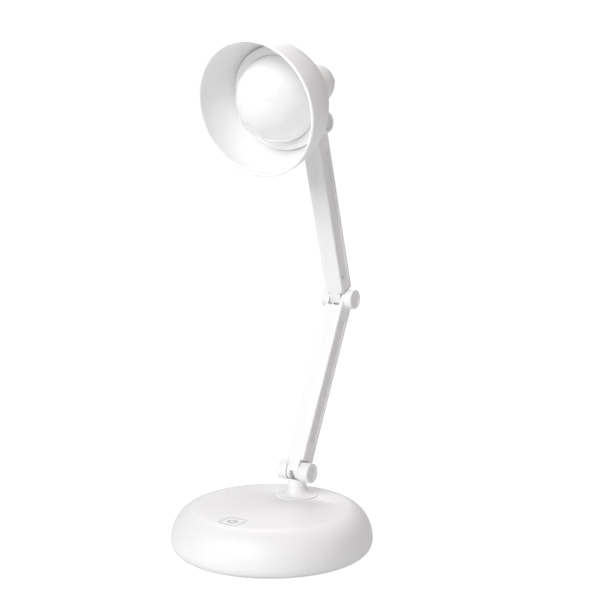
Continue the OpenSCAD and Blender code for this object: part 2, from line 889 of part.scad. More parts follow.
module battery_cell() {
    color(silver)
        translate([0, cell_y, foam_top])
            translate([-cell_w / 2, 0, cell_t / 2])
                rotate([90, 0, 90])
                    linear_extrude(cell_w)
                        stadium(cell_d, cell_t);
}

module battery_wires() {
    color(red)
        stacked_wires(cell_route);
}

module control_board() {
    color(green)
        difference() {
            translate([0, board_y, board_z])
                linear_extrude(board_t)
                    rounded(-board_w / 2, board_w / 2, -board_d / 2, board_d / 2, 1);
            mirrored_x()
                translate([board_screw_span / 2, board_y, board_z - eps])
                    cylinder(r = board_screw[1], h = board_t + 2 * eps, $fn = 32);
        }
}

// charger chip, coil, capacitor and a plug for the touch board
module control_board_parts() {
    color(black) {
        translate([-8, board_y - 3, board_top])
            box([-2.5, -2, 0], [2.5, 2, 1.6]);
        translate([7.4, board_y - 2.6, board_top])
            box([-2.5, -2.5, 0], [2.5, 2.5, 3.2]);
    }
    color(grey)
        translate([-7.5, board_y + 3, board_top])
            cylinder(r = 2, h = 5, $fn = 32);
    color(white)
        translate([7.5, board_y + 3, board_top])
            difference() {
                box([-2, -2, 0], [2, 2, 3.4]);
                box([-1.4, -2 - eps, 0.6], [1.4, 1.2, 2.8]);
            }
}

module control_board_screws() {
    color(steel)
        mirrored_x()
            translate([board_screw_span / 2, board_y, board_top])
                mirror([0, 0, 1])
                    screw(board_screw, board_screw_len);
}

module usb_socket() {
    mouth_h = socket_h - 2 * socket_wall;
    color(steel)
        translate([0, socket_y, socket_z])
            rotate([-90, 0, 0]) {
                difference() {
                    linear_extrude(socket_d)
                        stadium(socket_w, socket_h);
                    translate([0, 0, 1])
                        linear_extrude(socket_d)
                            stadium(socket_w - 2 * socket_wall, mouth_h);
                }
                translate([-3.3, -0.35, 1 - eps])
                    cube([6.6, 0.7, socket_d - 2]);
            }
}

module touch_board() {
    color(green)
        difference() {
            translate([0, touch_y, touch_top - touch_t])
                linear_extrude(touch_t)
                    rounded(-touch_w / 2, touch_w / 2, -touch_d / 2, touch_d / 2, 1);
            mirrored_x()
                translate([touch_screw_x, touch_y, touch_top - touch_t - eps])
                    cylinder(r = board_screw[1], h = touch_t + 2 * eps, $fn = 32);
        }
    color(black)
        translate([0, touch_y, touch_top - touch_t])
            box([-2, -1.5, -1.2], [2, 1.5, 0.2]);
}

module touch_spring() {
    steps = 12 * spring_turns;
    half_t = spring_wire_r * 0.866; // the wire's section has six sides
    low = touch_top + half_t;
    rise = touch_gap - 2 * half_t;
    color(steel)
        tube([for (i = [0:steps]) [spring_r * cos(30 * i), touch_y + spring_r * sin(30 * i),
            low + rise * i / steps]], spring_wire_r, [0, 0, 1], 6);
}

module touch_board_screws() {
    color(steel)
        mirrored_x()
            translate([touch_screw_x, touch_y, touch_top - touch_t])
                screw(board_screw, board_screw_len);
}

module touch_wires() {
    color(black)
        stacked_wires(touch_route);
}

// ---- neck ----

module neck() {
    flare_r = neck_foot_r - 0.5 - neck_r;
    color(white)
        translate([0, hinge_y, hinge_z])
            difference() {
                union() {
                    ears();
                    translate([0, 0, -neck_h])
                        cylinder(r = neck_r, h = neck_h);
                    translate([0, 0, -neck_h])
                        cylinder(r = neck_foot_r, h = neck_foot_t);
                    translate([0, 0, neck_foot_t - neck_h])
                        rotate_extrude()
                            difference() {
                                square([neck_foot_r - 0.5, flare_r]);
                                translate([neck_foot_r - 0.5, flare_r])
                                    circle(flare_r);
                            }
                    translate([0, 0, -neck_h - spigot_len])
                        cylinder(r = spigot_r, h = spigot_len + eps);
                    mirrored_x()
                        translate([neck_foot_r * 0.68, 0, -neck_h - 1.5])
                            cylinder(r = 1, h = 2, $fn = 32);
                }
                translate([0, 0, -neck_h - spigot_len - eps])
                    cylinder(r = neck_bore_r, h = spigot_len + neck_h);
                neck_slot(ear_r + 2);
                fork_bores();
            }
}

module neck_washer() {
    color(steel)
        translate([0, neck_y, roof_z - neck_washer_t])
            difference() {
                cylinder(r = neck_washer_r, h = neck_washer_t);
                translate([0, 0, -eps])
                    cylinder(r = spigot_r + fit, h = neck_washer_t + 2 * eps);
            }
}

module neck_nut() {
    color(steel)
        translate([0, neck_y, roof_z - neck_washer_t - neck_nut_h])
            difference() {
                cylinder(r = neck_nut_w / sqrt(3), h = neck_nut_h, $fn = 6);
                translate([0, 0, -eps])
                    cylinder(r = spigot_r + grip, h = neck_nut_h + 2 * eps);
            }
}

module base_wires() {
    color(black)
        wire_pair(neck_route);
}

// ---- head, in the frame at the head hinge ----

// children about the shade's axis, y = 0 at the rim
module on_axis() {
    translate([0, -rim_front, axis_up])
        children();
}

module at_led_screws() {
    for (i = [0:2])
        rotate([0, 90 + 120 * i, 0])
            translate([led_screw_r, 0, 0])
                children();
}

module shade() {
    seat_a = asin(seat_s / bowl_d);
    floor_s = seat_s - seat_t;
    floor_a = asin(floor_s / (bowl_d - shade_t));
    edge = shade_t / 2;
    outer = arc(0, 0, rim_r, bowl_d, 2, seat_a, 26);
    inner = arc(0, 0, rim_r - shade_t, bowl_d - shade_t, floor_a, 2, 26);
    rim = arc(rim_r - edge, edge, edge, edge, 180, 360, 8);
    color(white)
        on_axis()
            difference() {
                union() {
                    turned_y($fn = 144)
                        polygon(concat(outer, [[0, seat_s], [0, floor_s]], inner, rim));
                    turned_y($fn = 144)
                        translate([ledge_in, ledge_s])
                            square([ledge_w + 0.5, ledge_t]);
                    at_led_screws()
                        translate([0, led_s + led_board_t, 0])
                            rotate([-90, 0, 0])
                                cylinder(r = 2.4, h = floor_s + post_root - led_s - led_board_t);
                    translate([0, seat_s - post_root, -housing_drop])
                        turned_y()
                            difference() {
                                square([housing_in - fit, spigot_h + post_root]);
                                square([housing_in - fit - 1.4, spigot_h + post_root + eps]);
                            }
                }
                at_led_screws()
                    translate([0, led_s + led_board_t - eps, 0])
                        rotate([-90, 0, 0])
                            cylinder(r = board_screw[0] + grip, h = board_screw_len + eps, $fn = 32);
                translate([0, floor_s - eps, 0])
                    rotate([-90, 0, 0])
                        cylinder(r = 2.8, h = seat_t + 2 * eps);
                mirrored_x()
                    translate([housing_screw_x, floor_s - eps, -housing_drop])
                        rotate([-90, 0, 0])
                            cylinder(r = base_screw[1], h = seat_t + 2 * eps, $fn = 32);
            }
}

module dome_ring() {
    hook_end = hook_top + 1;
    color(white)
        on_axis()
            union() {
                turned_y($fn = 144)
                    difference() {
                        translate([dome_r + 0.15, ring_s])
                            square([ring_r - dome_r - 0.15, ring_h]);
                        translate([dome_r, dome_s])
                            square([lip_w + 0.2, ring_h]);
                    }
                for (i = [0:2])
                    rotate([0, 30 + 120 * i, 0])
                        rotate([-90, 0, 0])
                            rotate([0, 0, -8])
                                rotate_extrude(angle = 16, $fn = 144)
                                    polygon([[lip_r - 0.8, lip_back], [lip_r - 0.8, hook_end],
                                        [ledge_in - 0.2, hook_end], [hook_r, hook_top],
                                        [ledge_in - 0.2, hook_top], [ledge_in - 0.2, ledge_s - 0.4],
                                        [lip_r + 0.3, ledge_s - 0.4], [lip_r + 0.3, lip_back]]);
            }
}

module diffuser_dome() {
    color(pale)
        on_axis()
            turned_y($fn = 144) {
                translate([0, dome_s])
                    difference() {
                        circle(dome_r);
                        circle(dome_r - dome_t);
                        translate([-2 * dome_r, -2 * dome_r])
                            square([2 * dome_r, 4 * dome_r]);
                        translate([-dome_r, 0])
                            square(2 * dome_r);
                    }
                translate([dome_r - dome_t, dome_s])
                    square([lip_w + dome_t, lip_t]);
            }
}

module led_board() {
    color(silver)
        on_axis()
            difference() {
                translate([0, led_s, 0])
                    turned_y()
                        square([led_board_r, led_board_t]);
                at_led_screws()
                    translate([0, led_s - eps, 0])
                        rotate([-90, 0, 0])
                            cylinder(r = board_screw[1], h = led_board_t + 2 * eps, $fn = 32);
            }
}

module led_chips() {
    color(amber)
        on_axis()
            for (i = [0:led_n - 1])
                rotate([0, 360 * i / led_n, 0])
                    box([led_ring_r - 1.4, led_s - 0.7, -1.75], [led_ring_r + 1.4, led_s, 1.75]);
}

module led_board_screws() {
    color(steel)
        on_axis()
            at_led_screws()
                translate([0, led_s, 0])
                    rotate([-90, 0, 0])
                        screw(board_screw, board_screw_len);
}

module head_housing() {
    outer = concat([[0, seat_y], [housing_r, seat_y]],
        arc(0, dome_y, housing_r, housing_dome, 0, 90, 14));
    inner = concat([[0, seat_y - eps], [housing_in, seat_y - eps]],
        arc(0, dome_y, housing_in, housing_dome - housing_t, 0, 90, 14));
    stem_top = housing_up - housing_r + housing_t * 0.85;
    post_end = dome_y + (housing_dome - housing_t) * sqrt(1 - pow(housing_screw_x / housing_in, 2));
    color(white)
        difference() {
            union() {
                difference() {
                    translate([0, 0, housing_up])
                        turned_y($fn = 96)
                            polygon(outer);
                    translate([0, 0, housing_up])
                        turned_y($fn = 96)
                            polygon(inner);
                }
                tongue(stem_top);
                translate([-tongue_x, 0, 0])
                    rotate([90, 0, 90])
                        linear_extrude(2 * tongue_x)
                            polygon([[-knuckle_r, 3], [knuckle_r, 3], [knuckle_r + 2.4, stem_top],
                                [-knuckle_r - 2.4, stem_top]]);
                mirrored_x()
                    translate([housing_screw_x, seat_y, housing_up])
                        rotate([-90, 0, 0])
                            cylinder(r = 2.4, h = post_end + post_root - seat_y);
            }
            tongue_cuts(stem_top + 2);
            mirrored_x()
                translate([housing_screw_x, seat_y - eps, housing_up])
                    rotate([-90, 0, 0])
                        cylinder(r = base_screw[0] + grip, h = housing_screw_len + eps, $fn = 32);
        }
}

module housing_screws() {
    color(steel)
        mirrored_x()
            translate([housing_screw_x, seat_y - seat_t, housing_up])
                rotate([-90, 0, 0])
                    screw(base_screw, housing_screw_len);
}

module head_wires() {
    color(black)
        wire_pair(head_route);
}

// ---- nodes ----

base_shell();
base_cover();
base_cover_screws();
anti_slip_pad();
counterweight();
weight_screws();
battery_foam();
battery_cell();
battery_wires();
control_board();
control_board_parts();
control_board_screws();
usb_socket();
touch_board();
touch_spring();
touch_board_screws();
touch_wires();
neck();
neck_washer();
neck_nut();
base_wires();
translate([0, hinge_y, hinge_z]) hinge_bolt();  // base_hinge_bolt
translate([0, hinge_y, hinge_z]) hinge_nut();  // base_hinge_nut
translate([0, hinge_y, hinge_z]) hinge_spring_washer();  // base_hinge_spring_washer
translate([0, hinge_y, hinge_z]) hinge_friction_washers();  // base_hinge_friction_washers
translate([0, hinge_y, hinge_z]) hinge_caps();  // base_hinge_caps
at_lower_arm() arm_frame(lower_len, recess_far, recess_elbow);  // lower_arm_frame
at_lower_arm() arm_cover(lower_len);  // lower_arm_cover
at_lower_arm() arm_screws(lower_len);  // lower_arm_screws
at_lower_arm() arm_wires(lower_len);  // lower_arm_wires
at_elbow() hinge_bolt();  // elbow_bolt
at_elbow() hinge_nut();  // elbow_nut
at_elbow() hinge_spring_washer();  // elbow_spring_washer
at_elbow() hinge_friction_washers();  // elbow_friction_washers
at_elbow() hinge_caps();  // elbow_caps
at_upper_arm() arm_frame(upper_len, recess_elbow, recess_far);  // upper_arm_frame
at_upper_arm() arm_cover(upper_len);  // upper_arm_cover
at_upper_arm() arm_screws(upper_len);  // upper_arm_screws
at_upper_arm() arm_wires(upper_len);  // upper_arm_wires
at_head_hinge() hinge_bolt();  // head_hinge_bolt
at_head_hinge() hinge_nut();  // head_hinge_nut
at_head_hinge() hinge_spring_washer();  // head_hinge_spring_washer
at_head_hinge() hinge_friction_washers();  // head_hinge_friction_washers
at_head_hinge() hinge_caps();  // head_hinge_caps
at_head() shade();
at_head() dome_ring();
at_head() diffuser_dome();
at_head() led_board();
at_head() led_chips();
at_head() led_board_screws();
at_head() head_housing();
at_head() housing_screws();
at_head() head_wires();
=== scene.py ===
import json
import math
import bmesh
import bpy
import numpy as np
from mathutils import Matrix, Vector


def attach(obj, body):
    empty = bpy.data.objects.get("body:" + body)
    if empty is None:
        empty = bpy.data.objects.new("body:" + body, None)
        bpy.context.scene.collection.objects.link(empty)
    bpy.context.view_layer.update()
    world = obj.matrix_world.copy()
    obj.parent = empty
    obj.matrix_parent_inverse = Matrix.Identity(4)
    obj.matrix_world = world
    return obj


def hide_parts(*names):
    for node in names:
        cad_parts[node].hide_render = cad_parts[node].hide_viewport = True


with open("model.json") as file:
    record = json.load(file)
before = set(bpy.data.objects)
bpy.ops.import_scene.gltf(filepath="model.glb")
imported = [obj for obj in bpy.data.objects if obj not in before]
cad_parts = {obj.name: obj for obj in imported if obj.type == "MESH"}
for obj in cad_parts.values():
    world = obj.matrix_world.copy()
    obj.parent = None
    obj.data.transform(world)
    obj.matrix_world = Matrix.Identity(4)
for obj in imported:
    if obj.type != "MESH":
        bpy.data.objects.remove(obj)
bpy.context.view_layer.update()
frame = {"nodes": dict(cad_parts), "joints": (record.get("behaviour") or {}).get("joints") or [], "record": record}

nodes = frame["nodes"]
bodyOf = {n: body for body, members in frame["record"]["behaviour"]["bodies"].items() for n in members}
slotOf = {p["node"]: p["material_slot"] for p in frame["record"]["subparts"]}
jointAt = {j["name"]: Vector(j["pos_m"]) for j in frame["joints"]}
print("frame loaded:", len(nodes), "nodes")

cameraSettings = {"place": (0.465977, -0.648481, 0.268501), "look": (-0.56021547, 0.81504181, -0.14786981),
                  "lens": 83.456, "sensor": 36.0, "clip": (0.05, 50)}


def makeCamera(s):
    data = bpy.data.cameras.new("lampCamera")
    data.lens, data.sensor_width = s["lens"], s["sensor"]
    data.clip_start, data.clip_end = s["clip"]
    cam = bpy.data.objects.new("lampCamera", data)
    cam.location = s["place"]
    cam.rotation_euler = Vector(s["look"]).to_track_quat("-Z", "Y").to_euler()
    bpy.context.scene.collection.objects.link(cam)
    bpy.context.scene.camera = cam


studioSettings = {
    "target": (0, 0, 0.15),
    # name: azimuth from the lamp's front, elevation, distance, width, height, watts, warmth
    "lights": {"frontBox": (-4, 30, 1.7, 1.62, 1.3, 28.5, 0),
               "rightFrontBox": (45, 50, 1.9, 1.0, 1.0, 2.6, 0.06),
               "backRightBox": (120, 40, 1.9, 1.1, 1.2, 3.6, 0.08),
               "backLeftBox": (-140, 40, 1.9, 1.1, 1.2, 10.6, 0),
               "backBox": (170, 50, 1.9, 2.0, 1.6, 11.5, 0.02)},
    "roomGlow": 0.1, "roomColour": (1.0, 0.93, 0.93), "backdrop": 1.05,
    "floorSize": 12.0, "floorDrop": 0.0002, "floorColour": (0.3, 0.3, 0.3), "floorRoughness": 0.9,
    "floorLight": 0.48,
    "nearGlow": 0.86, "farGlow": 1.03, "glowFrom": 0.3, "glowTo": 1.5}


def makeStudio(s):
    target = Vector(s["target"])
    for name, (az, el, far, wide, high, watts, warmth) in s["lights"].items():
        a, e = math.radians(az), math.radians(el)
        out = Vector((math.sin(a) * math.cos(e), -math.cos(a) * math.cos(e), math.sin(e)))
        data = bpy.data.lights.new(name, "AREA")
        data.shape, data.size, data.size_y, data.energy = "RECTANGLE", wide, high, watts
        data.color = (1, 1 - warmth, 1 - warmth)
        light = bpy.data.objects.new(name, data)
        light.location = target + out * far
        light.rotation_euler = out.to_track_quat("Z", "Y").to_euler()
        bpy.context.scene.collection.objects.link(light)
    world = bpy.data.worlds.new("paleStudio")
    bpy.context.scene.world = world
    world.use_nodes = True
    tree = world.node_tree
    tree.nodes.clear()
    sky = tree.nodes.new("ShaderNodeOutputWorld")
    mix = tree.nodes.new("ShaderNodeMixShader")
    path = tree.nodes.new("ShaderNodeLightPath")
    room, seen = tree.nodes.new("ShaderNodeBackground"), tree.nodes.new("ShaderNodeBackground")
    room.inputs["Strength"].default_value = s["roomGlow"]
    room.inputs["Color"].default_value = (*s["roomColour"], 1)
    seen.inputs["Strength"].default_value = s["backdrop"]
    seen.inputs["Color"].default_value = (1, 1, 1, 1)
    tree.links.new(path.outputs["Is Camera Ray"], mix.inputs["Fac"])
    tree.links.new(room.outputs[0], mix.inputs[1])
    tree.links.new(seen.outputs[0], mix.inputs[2])
    tree.links.new(mix.outputs[0], sky.inputs["Surface"])
    half = s["floorSize"] / 2
    mesh = bpy.data.meshes.new("floor")
    corners = [(-half, -half, 0), (half, -half, 0), (half, half, 0), (-half, half, 0)]
    mesh.from_pydata(corners, [], [(0, 1, 2, 3)])
    floor = bpy.data.objects.new("floor", mesh)
    floor.location.z = -s["floorDrop"]
    bpy.context.scene.collection.objects.link(floor)
    return floor


makeCamera(cameraSettings)
floor = makeStudio(studioSettings)
bpy.context.scene.view_settings.view_transform = "Standard"
print("camera and studio made")


def newMaterial(name):
    m = bpy.data.materials.new(name)
    m.use_nodes = True
    return m, m.node_tree, m.node_tree.nodes["Principled BSDF"]


def objectPlace(tree, stretch=(1, 1, 1)):
    coord = tree.nodes.new("ShaderNodeTexCoord")
    turn = tree.nodes.new("ShaderNodeMapping")
    turn.inputs["Scale"].default_value = stretch
    tree.links.new(coord.outputs["Object"], turn.inputs["Vector"])
    return turn.outputs["Vector"]


def noiseOn(tree, place, scale, detail):
    noise = tree.nodes.new("ShaderNodeTexNoise")
    noise.inputs["Scale"].default_value = scale
    noise.inputs["Detail"].default_value = detail
    tree.links.new(place, noise.inputs["Vector"])
    return noise.outputs["Fac"]


def cellsOn(tree, place, scale, feature="F1"):
    cells = tree.nodes.new("ShaderNodeTexVoronoi")
    cells.feature = feature
    cells.inputs["Scale"].default_value = scale
    tree.links.new(place, cells.inputs["Vector"])
    return cells.outputs["Distance"]


def spread(tree, value, low, high, start=0.3, stop=0.7):
    n = tree.nodes.new("ShaderNodeMapRange")
    n.inputs["From Min"].default_value, n.inputs["From Max"].default_value = start, stop
    n.inputs["To Min"].default_value, n.inputs["To Max"].default_value = low, high
    tree.links.new(value, n.inputs["Value"])
    return n.outputs["Result"]


def tint(tree, value, dark, light, start=0.3, stop=0.7):
    n = tree.nodes.new("ShaderNodeValToRGB")
    ramp = n.color_ramp.elements
    ramp[0].position, ramp[1].position = start, stop
    ramp[0].color, ramp[1].color = (*dark, 1), (*light, 1)
    tree.links.new(value, n.inputs["Fac"])
    return n.outputs["Color"]


def mixed(tree, amount, first, colour):
    n = tree.nodes.new("ShaderNodeMix")
    n.data_type = "RGBA"
    n.inputs["B"].default_value = (*colour, 1)
    tree.links.new(amount, n.inputs["Factor"])
    tree.links.new(first, n.inputs["A"])
    return n.outputs["Result"]


def bumpFrom(tree, value, height, under=None):
    n = tree.nodes.new("ShaderNodeBump")
    n.inputs["Distance"].default_value = height
    tree.links.new(value, n.inputs["Height"])
    if under is not None:
        tree.links.new(under, n.inputs["Normal"])
    return n.outputs["Normal"]


# what every finish shares: scales count clouds in a metre, edges are distances within a cell
surface = {"cloudScale": 40, "cloudDetail": 3, "wornScale": 120, "grainDetail": 2, "waveDetail": 1,
           "poreEdges": (0.05, 0.35), "trackEdges": (0.04, 0.06), "trackHeight": 0.00002,
           "speckEdges": (0.02, 0.05)}


def finishOf(name, s):
    m, tree, shader = newMaterial(name)
    place = objectPlace(tree, s.get("stretch", (1, 1, 1)))
    cloud = noiseOn(tree, place, surface["cloudScale"], surface["cloudDetail"])
    colour = tint(tree, cloud, s["dark"], s["light"])
    grain = noiseOn(tree, place, s["grainScale"], surface["grainDetail"])
    relief = bumpFrom(tree, grain, s["grainHeight"])
    if "wave" in s:  # long shallow flow marks of a moulding, or the creases of a skin
        scale, height = s["wave"]
        relief = bumpFrom(tree, noiseOn(tree, place, scale, surface["waveDetail"]), height, relief)
    if "pores" in s:  # cells: foam, rubber texture, cast skin
        scale, height, colourIn = s["pores"]
        cells = cellsOn(tree, place, scale)
        relief = bumpFrom(tree, cells, height, relief)
        # painted shade: the pits of the cells take the darker pore colour
        colour = mixed(tree, spread(tree, cells, 1, 0, *surface["poreEdges"]), colour, colourIn)
    if "tracks" in s:  # copper under the lacquer of a board
        scale, colourIn = s["tracks"]
        borders = cellsOn(tree, place, scale, "DISTANCE_TO_EDGE")
        tracks = spread(tree, borders, 1, 0, *surface["trackEdges"])
        relief = bumpFrom(tree, tracks, surface["trackHeight"], relief)
        colour = mixed(tree, tracks, colour, colourIn)
    if "specks" in s:  # rare fine dots in the surface
        scale, colourIn = s["specks"]
        dots = spread(tree, cellsOn(tree, place, scale), 1, 0, *surface["speckEdges"])
        colour = mixed(tree, dots, colour, colourIn)
    tree.links.new(colour, shader.inputs["Base Color"])
    worn = noiseOn(tree, place, surface["wornScale"], surface["cloudDetail"])
    tree.links.new(spread(tree, worn, *s["rough"]), shader.inputs["Roughness"])
    tree.links.new(relief, shader.inputs["Normal"])
    for socket, value in s.get("fixed", {}).items():
        shader.inputs[socket].default_value = value
    return m


mouldedSkin = {"Subsurface Weight": 0.15, "Subsurface Scale": 0.0015, "Subsurface Radius": (1, 0.97, 0.95)}
# in a finish's pores, the third value is the darker colour painted into the pits as shade
finishes = {
    "whiteAbs": {"dark": (0.872, 0.872, 0.868), "light": (0.888, 0.888, 0.885), "rough": (0.4, 0.48),
                 "grainScale": 2600, "grainHeight": 0.000006, "wave": (90, 0.00001), "fixed": mouldedSkin},
    "satinAbs": {"dark": (0.9, 0.9, 0.9), "light": (0.916, 0.916, 0.916), "rough": (0.38, 0.45),
                 "grainScale": 1900, "grainHeight": 0.000004, "wave": (70, 0.000012), "fixed": mouldedSkin},
    "frostedDome": {"dark": (0.885, 0.885, 0.889), "light": (0.897, 0.897, 0.901), "rough": (0.05, 0.08),
                    "grainScale": 3500, "grainHeight": 0.000002,
                    "fixed": {"Subsurface Weight": 0.35, "Subsurface Scale": 0.0025,
                              "Subsurface Radius": (1, 1, 1), "IOR": 1.5}},
    "padRubber": {"dark": (0.035, 0.035, 0.037), "light": (0.05, 0.05, 0.052), "rough": (0.8, 0.92),
                  "grainScale": 1200, "grainHeight": 0.00004, "pores": (900, 0.00006, (0.028, 0.028, 0.03))},
    "zincSteel": {"dark": (0.6, 0.61, 0.63), "light": (0.72, 0.73, 0.75), "rough": (0.26, 0.4),
                  "grainScale": 900, "grainHeight": 0.000008, "stretch": (1, 1, 6),
                  "fixed": {"Metallic": 1.0}},
    "castIron": {"dark": (0.2, 0.2, 0.21), "light": (0.28, 0.28, 0.29), "rough": (0.6, 0.75),
                 "grainScale": 700, "grainHeight": 0.00006, "pores": (420, 0.00005, (0.15, 0.15, 0.155)),
                 "fixed": {"Metallic": 1.0}},
    "foilSkin": {"dark": (0.68, 0.69, 0.71), "light": (0.78, 0.79, 0.8), "rough": (0.3, 0.45),
                 "grainScale": 300, "grainHeight": 0.00004, "wave": (120, 0.0001),
                 "fixed": {"Metallic": 1.0}},
    "boardGreen": {"dark": (0.02, 0.13, 0.06), "light": (0.03, 0.17, 0.08), "rough": (0.3, 0.4),
                   "grainScale": 1200, "grainHeight": 0.00001, "tracks": (330, (0.05, 0.26, 0.12))},
    "boardAluminium": {"dark": (0.8, 0.81, 0.82), "light": (0.88, 0.88, 0.89), "rough": (0.35, 0.5),
                       "grainScale": 800, "grainHeight": 0.00001, "tracks": (220, (0.84, 0.84, 0.85))},
    "chipBlack": {"dark": (0.012, 0.012, 0.014), "light": (0.02, 0.02, 0.022), "rough": (0.45, 0.6),
                  "grainScale": 1500, "grainHeight": 0.00001, "specks": (2600, (0.05, 0.05, 0.052))},
    "chipAmber": {"dark": (0.8, 0.6, 0.12), "light": (0.86, 0.7, 0.2), "rough": (0.3, 0.4),
                  "grainScale": 1500, "grainHeight": 0.000005, "specks": (3000, (0.9, 0.78, 0.35))},
    "wireSkin": {"dark": (0.02, 0.02, 0.022), "light": (0.035, 0.035, 0.037), "rough": (0.4, 0.5),
                 "grainScale": 1000, "grainHeight": 0.00001, "wave": (260, 0.00002)},
    "nylon": {"dark": (0.6, 0.6, 0.58), "light": (0.68, 0.68, 0.66), "rough": (0.5, 0.6),
              "grainScale": 900, "grainHeight": 0.00001, "wave": (160, 0.00001)},
    "blackFoam": {"dark": (0.012, 0.012, 0.012), "light": (0.03, 0.03, 0.03), "rough": (0.9, 1.0),
                  "grainScale": 800, "grainHeight": 0.0001, "pores": (1300, 0.00025, (0.006, 0.006, 0.006))},
    "printGrey": {"dark": (0.2, 0.2, 0.21), "light": (0.25, 0.25, 0.26), "rough": (0.45, 0.55),
                  "grainScale": 3000, "grainHeight": 0.000003, "specks": (4200, (0.4, 0.4, 0.4))},
    "printPale": {"dark": (0.42, 0.42, 0.43), "light": (0.5, 0.5, 0.51), "rough": (0.45, 0.55),
                  "grainScale": 3000, "grainHeight": 0.000003, "specks": (4200, (0.62, 0.62, 0.62))}}
finish = {name: finishOf(name, s) for name, s in finishes.items()}

slotFinish = {"white_abs": "whiteAbs", "frosted_dome": "frostedDome", "pad_rubber": "padRubber",
              "black_foam": "blackFoam", "iron": "castIron", "cell_foil": "foilSkin",
              "board_green": "boardGreen", "chip_black": "chipBlack", "board_aluminium": "boardAluminium",
              "chip_amber": "chipAmber", "wire_skin": "wireSkin", "nylon": "nylon",
              "zinc_steel": "zincSteel"}
for name, obj in nodes.items():
    obj.data.materials.clear()
    obj.data.materials.append(finish[slotFinish[slotOf[name]]])

floorFinish, floorTree, floorShader = newMaterial("floorPaper")
floorShader.inputs["Base Color"].default_value = (*studioSettings["floorColour"], 1)
floorShader.inputs["Roughness"].default_value = studioSettings["floorRoughness"]
floorShader.inputs["Emission Color"].default_value = (1, 1, 1, 1)
# the paper is seen paler than the light it gives back,
# and more so away from the lamp, where the lights fall off
away = floorTree.nodes.new("ShaderNodeVectorMath")
away.operation = "LENGTH"
floorTree.links.new(objectPlace(floorTree), away.inputs[0])
seenGlow = spread(floorTree, away.outputs["Value"], studioSettings["nearGlow"], studioSettings["farGlow"],
                  studioSettings["glowFrom"], studioSettings["glowTo"])
seenOrLit = floorTree.nodes.new("ShaderNodeMix")
seenOrLit.inputs["A"].default_value = studioSettings["floorLight"]
floorTree.links.new(seenGlow, seenOrLit.inputs["B"])
cameraSees = floorTree.nodes.new("ShaderNodeLightPath").outputs["Is Camera Ray"]
floorTree.links.new(cameraSees, seenOrLit.inputs["Factor"])
floorTree.links.new(seenOrLit.outputs["Result"], floorShader.inputs["Emission Strength"])
floor.data.materials.append(floorFinish)
print("finishes made:", len(finish))

# metres: points closer than this are one, and the radius of the ring that a profile is swept round
fineWeld = 0.000001
turningRadius = 0.01


def newTree(name, inputs):
    tree = bpy.data.node_groups.new(name, "GeometryNodeTree")
    for title, kind in inputs.items():
        tree.interface.new_socket(title, in_out="INPUT", socket_type="NodeSocket" + kind)
    tree.interface.new_socket("Geometry", in_out="OUTPUT", socket_type="NodeSocketGeometry")
    return tree, tree.nodes.new("NodeGroupInput"), tree.nodes.new("NodeGroupOutput")


def addStep(tree, kind, links, **settings):
    n = tree.nodes.new("GeometryNode" + kind if not kind.startswith(("Function", "Shader")) else kind)
    for key, value in settings.items():
        setattr(n, key, value)
    for socket, value in links.items():
        if isinstance(value, bpy.types.NodeSocket):
            tree.links.new(value, n.inputs[socket])
        else:
            n.inputs[socket].default_value = value
    return n


def turnedBody(tree, given):
    # sweeps the profile's edges round a circle, so that its x is the radius and its -y the place on the axis
    inward = addStep(tree, "ShaderNodeMath", {0: given.outputs["Turning Radius"], 1: -1.0},
                     operation="MULTIPLY")
    shift = addStep(tree, "ShaderNodeCombineXYZ", {"X": inward.outputs[0]})
    edges = addStep(tree, "ObjectInfo", {"Object": given.outputs["Profile"]})
    moved = addStep(tree, "Transform", {"Geometry": edges.outputs["Geometry"],
                                        "Translation": shift.outputs[0]})
    outline = addStep(tree, "MeshToCurve", {"Mesh": moved.outputs[0]})
    ring = addStep(tree, "CurvePrimitiveCircle", {"Resolution": given.outputs["Steps"],
                                                  "Radius": given.outputs["Turning Radius"]})
    body = addStep(tree, "CurveToMesh", {"Curve": ring.outputs["Curve"],
                                         "Profile Curve": outline.outputs["Curve"]})
    return addStep(tree, "MergeByDistance", {"Geometry": body.outputs[0], "Distance": fineWeld}).outputs[0]


def placedBody(tree, given, out, body):
    # sets one copy at each place, turned to the place's own axis
    points = addStep(tree, "ObjectInfo", {"Object": given.outputs["Places"]})
    axis = addStep(tree, "InputNamedAttribute", {"Name": "axis"}, data_type="FLOAT_VECTOR")
    turn = addStep(tree, "FunctionNodeAlignRotationToVector", {"Vector": axis.outputs["Attribute"]}, axis="Z")
    copies = addStep(tree, "InstanceOnPoints", {"Points": points.outputs["Geometry"], "Instance": body,
                                                "Rotation": turn.outputs[0]})
    real = addStep(tree, "RealizeInstances", {"Geometry": copies.outputs[0]})
    done = addStep(tree, "SetMaterial", {"Geometry": real.outputs[0], "Material": given.outputs["Finish"]})
    tree.links.new(done.outputs[0], out.inputs[0])


def makeTurnedTree():
    tree, given, out = newTree("turnedPiece", {"Profile": "Object", "Places": "Object", "Steps": "Int",
                                               "Turning Radius": "Float", "Finish": "Material"})
    placedBody(tree, given, out, turnedBody(tree, given))
    return tree


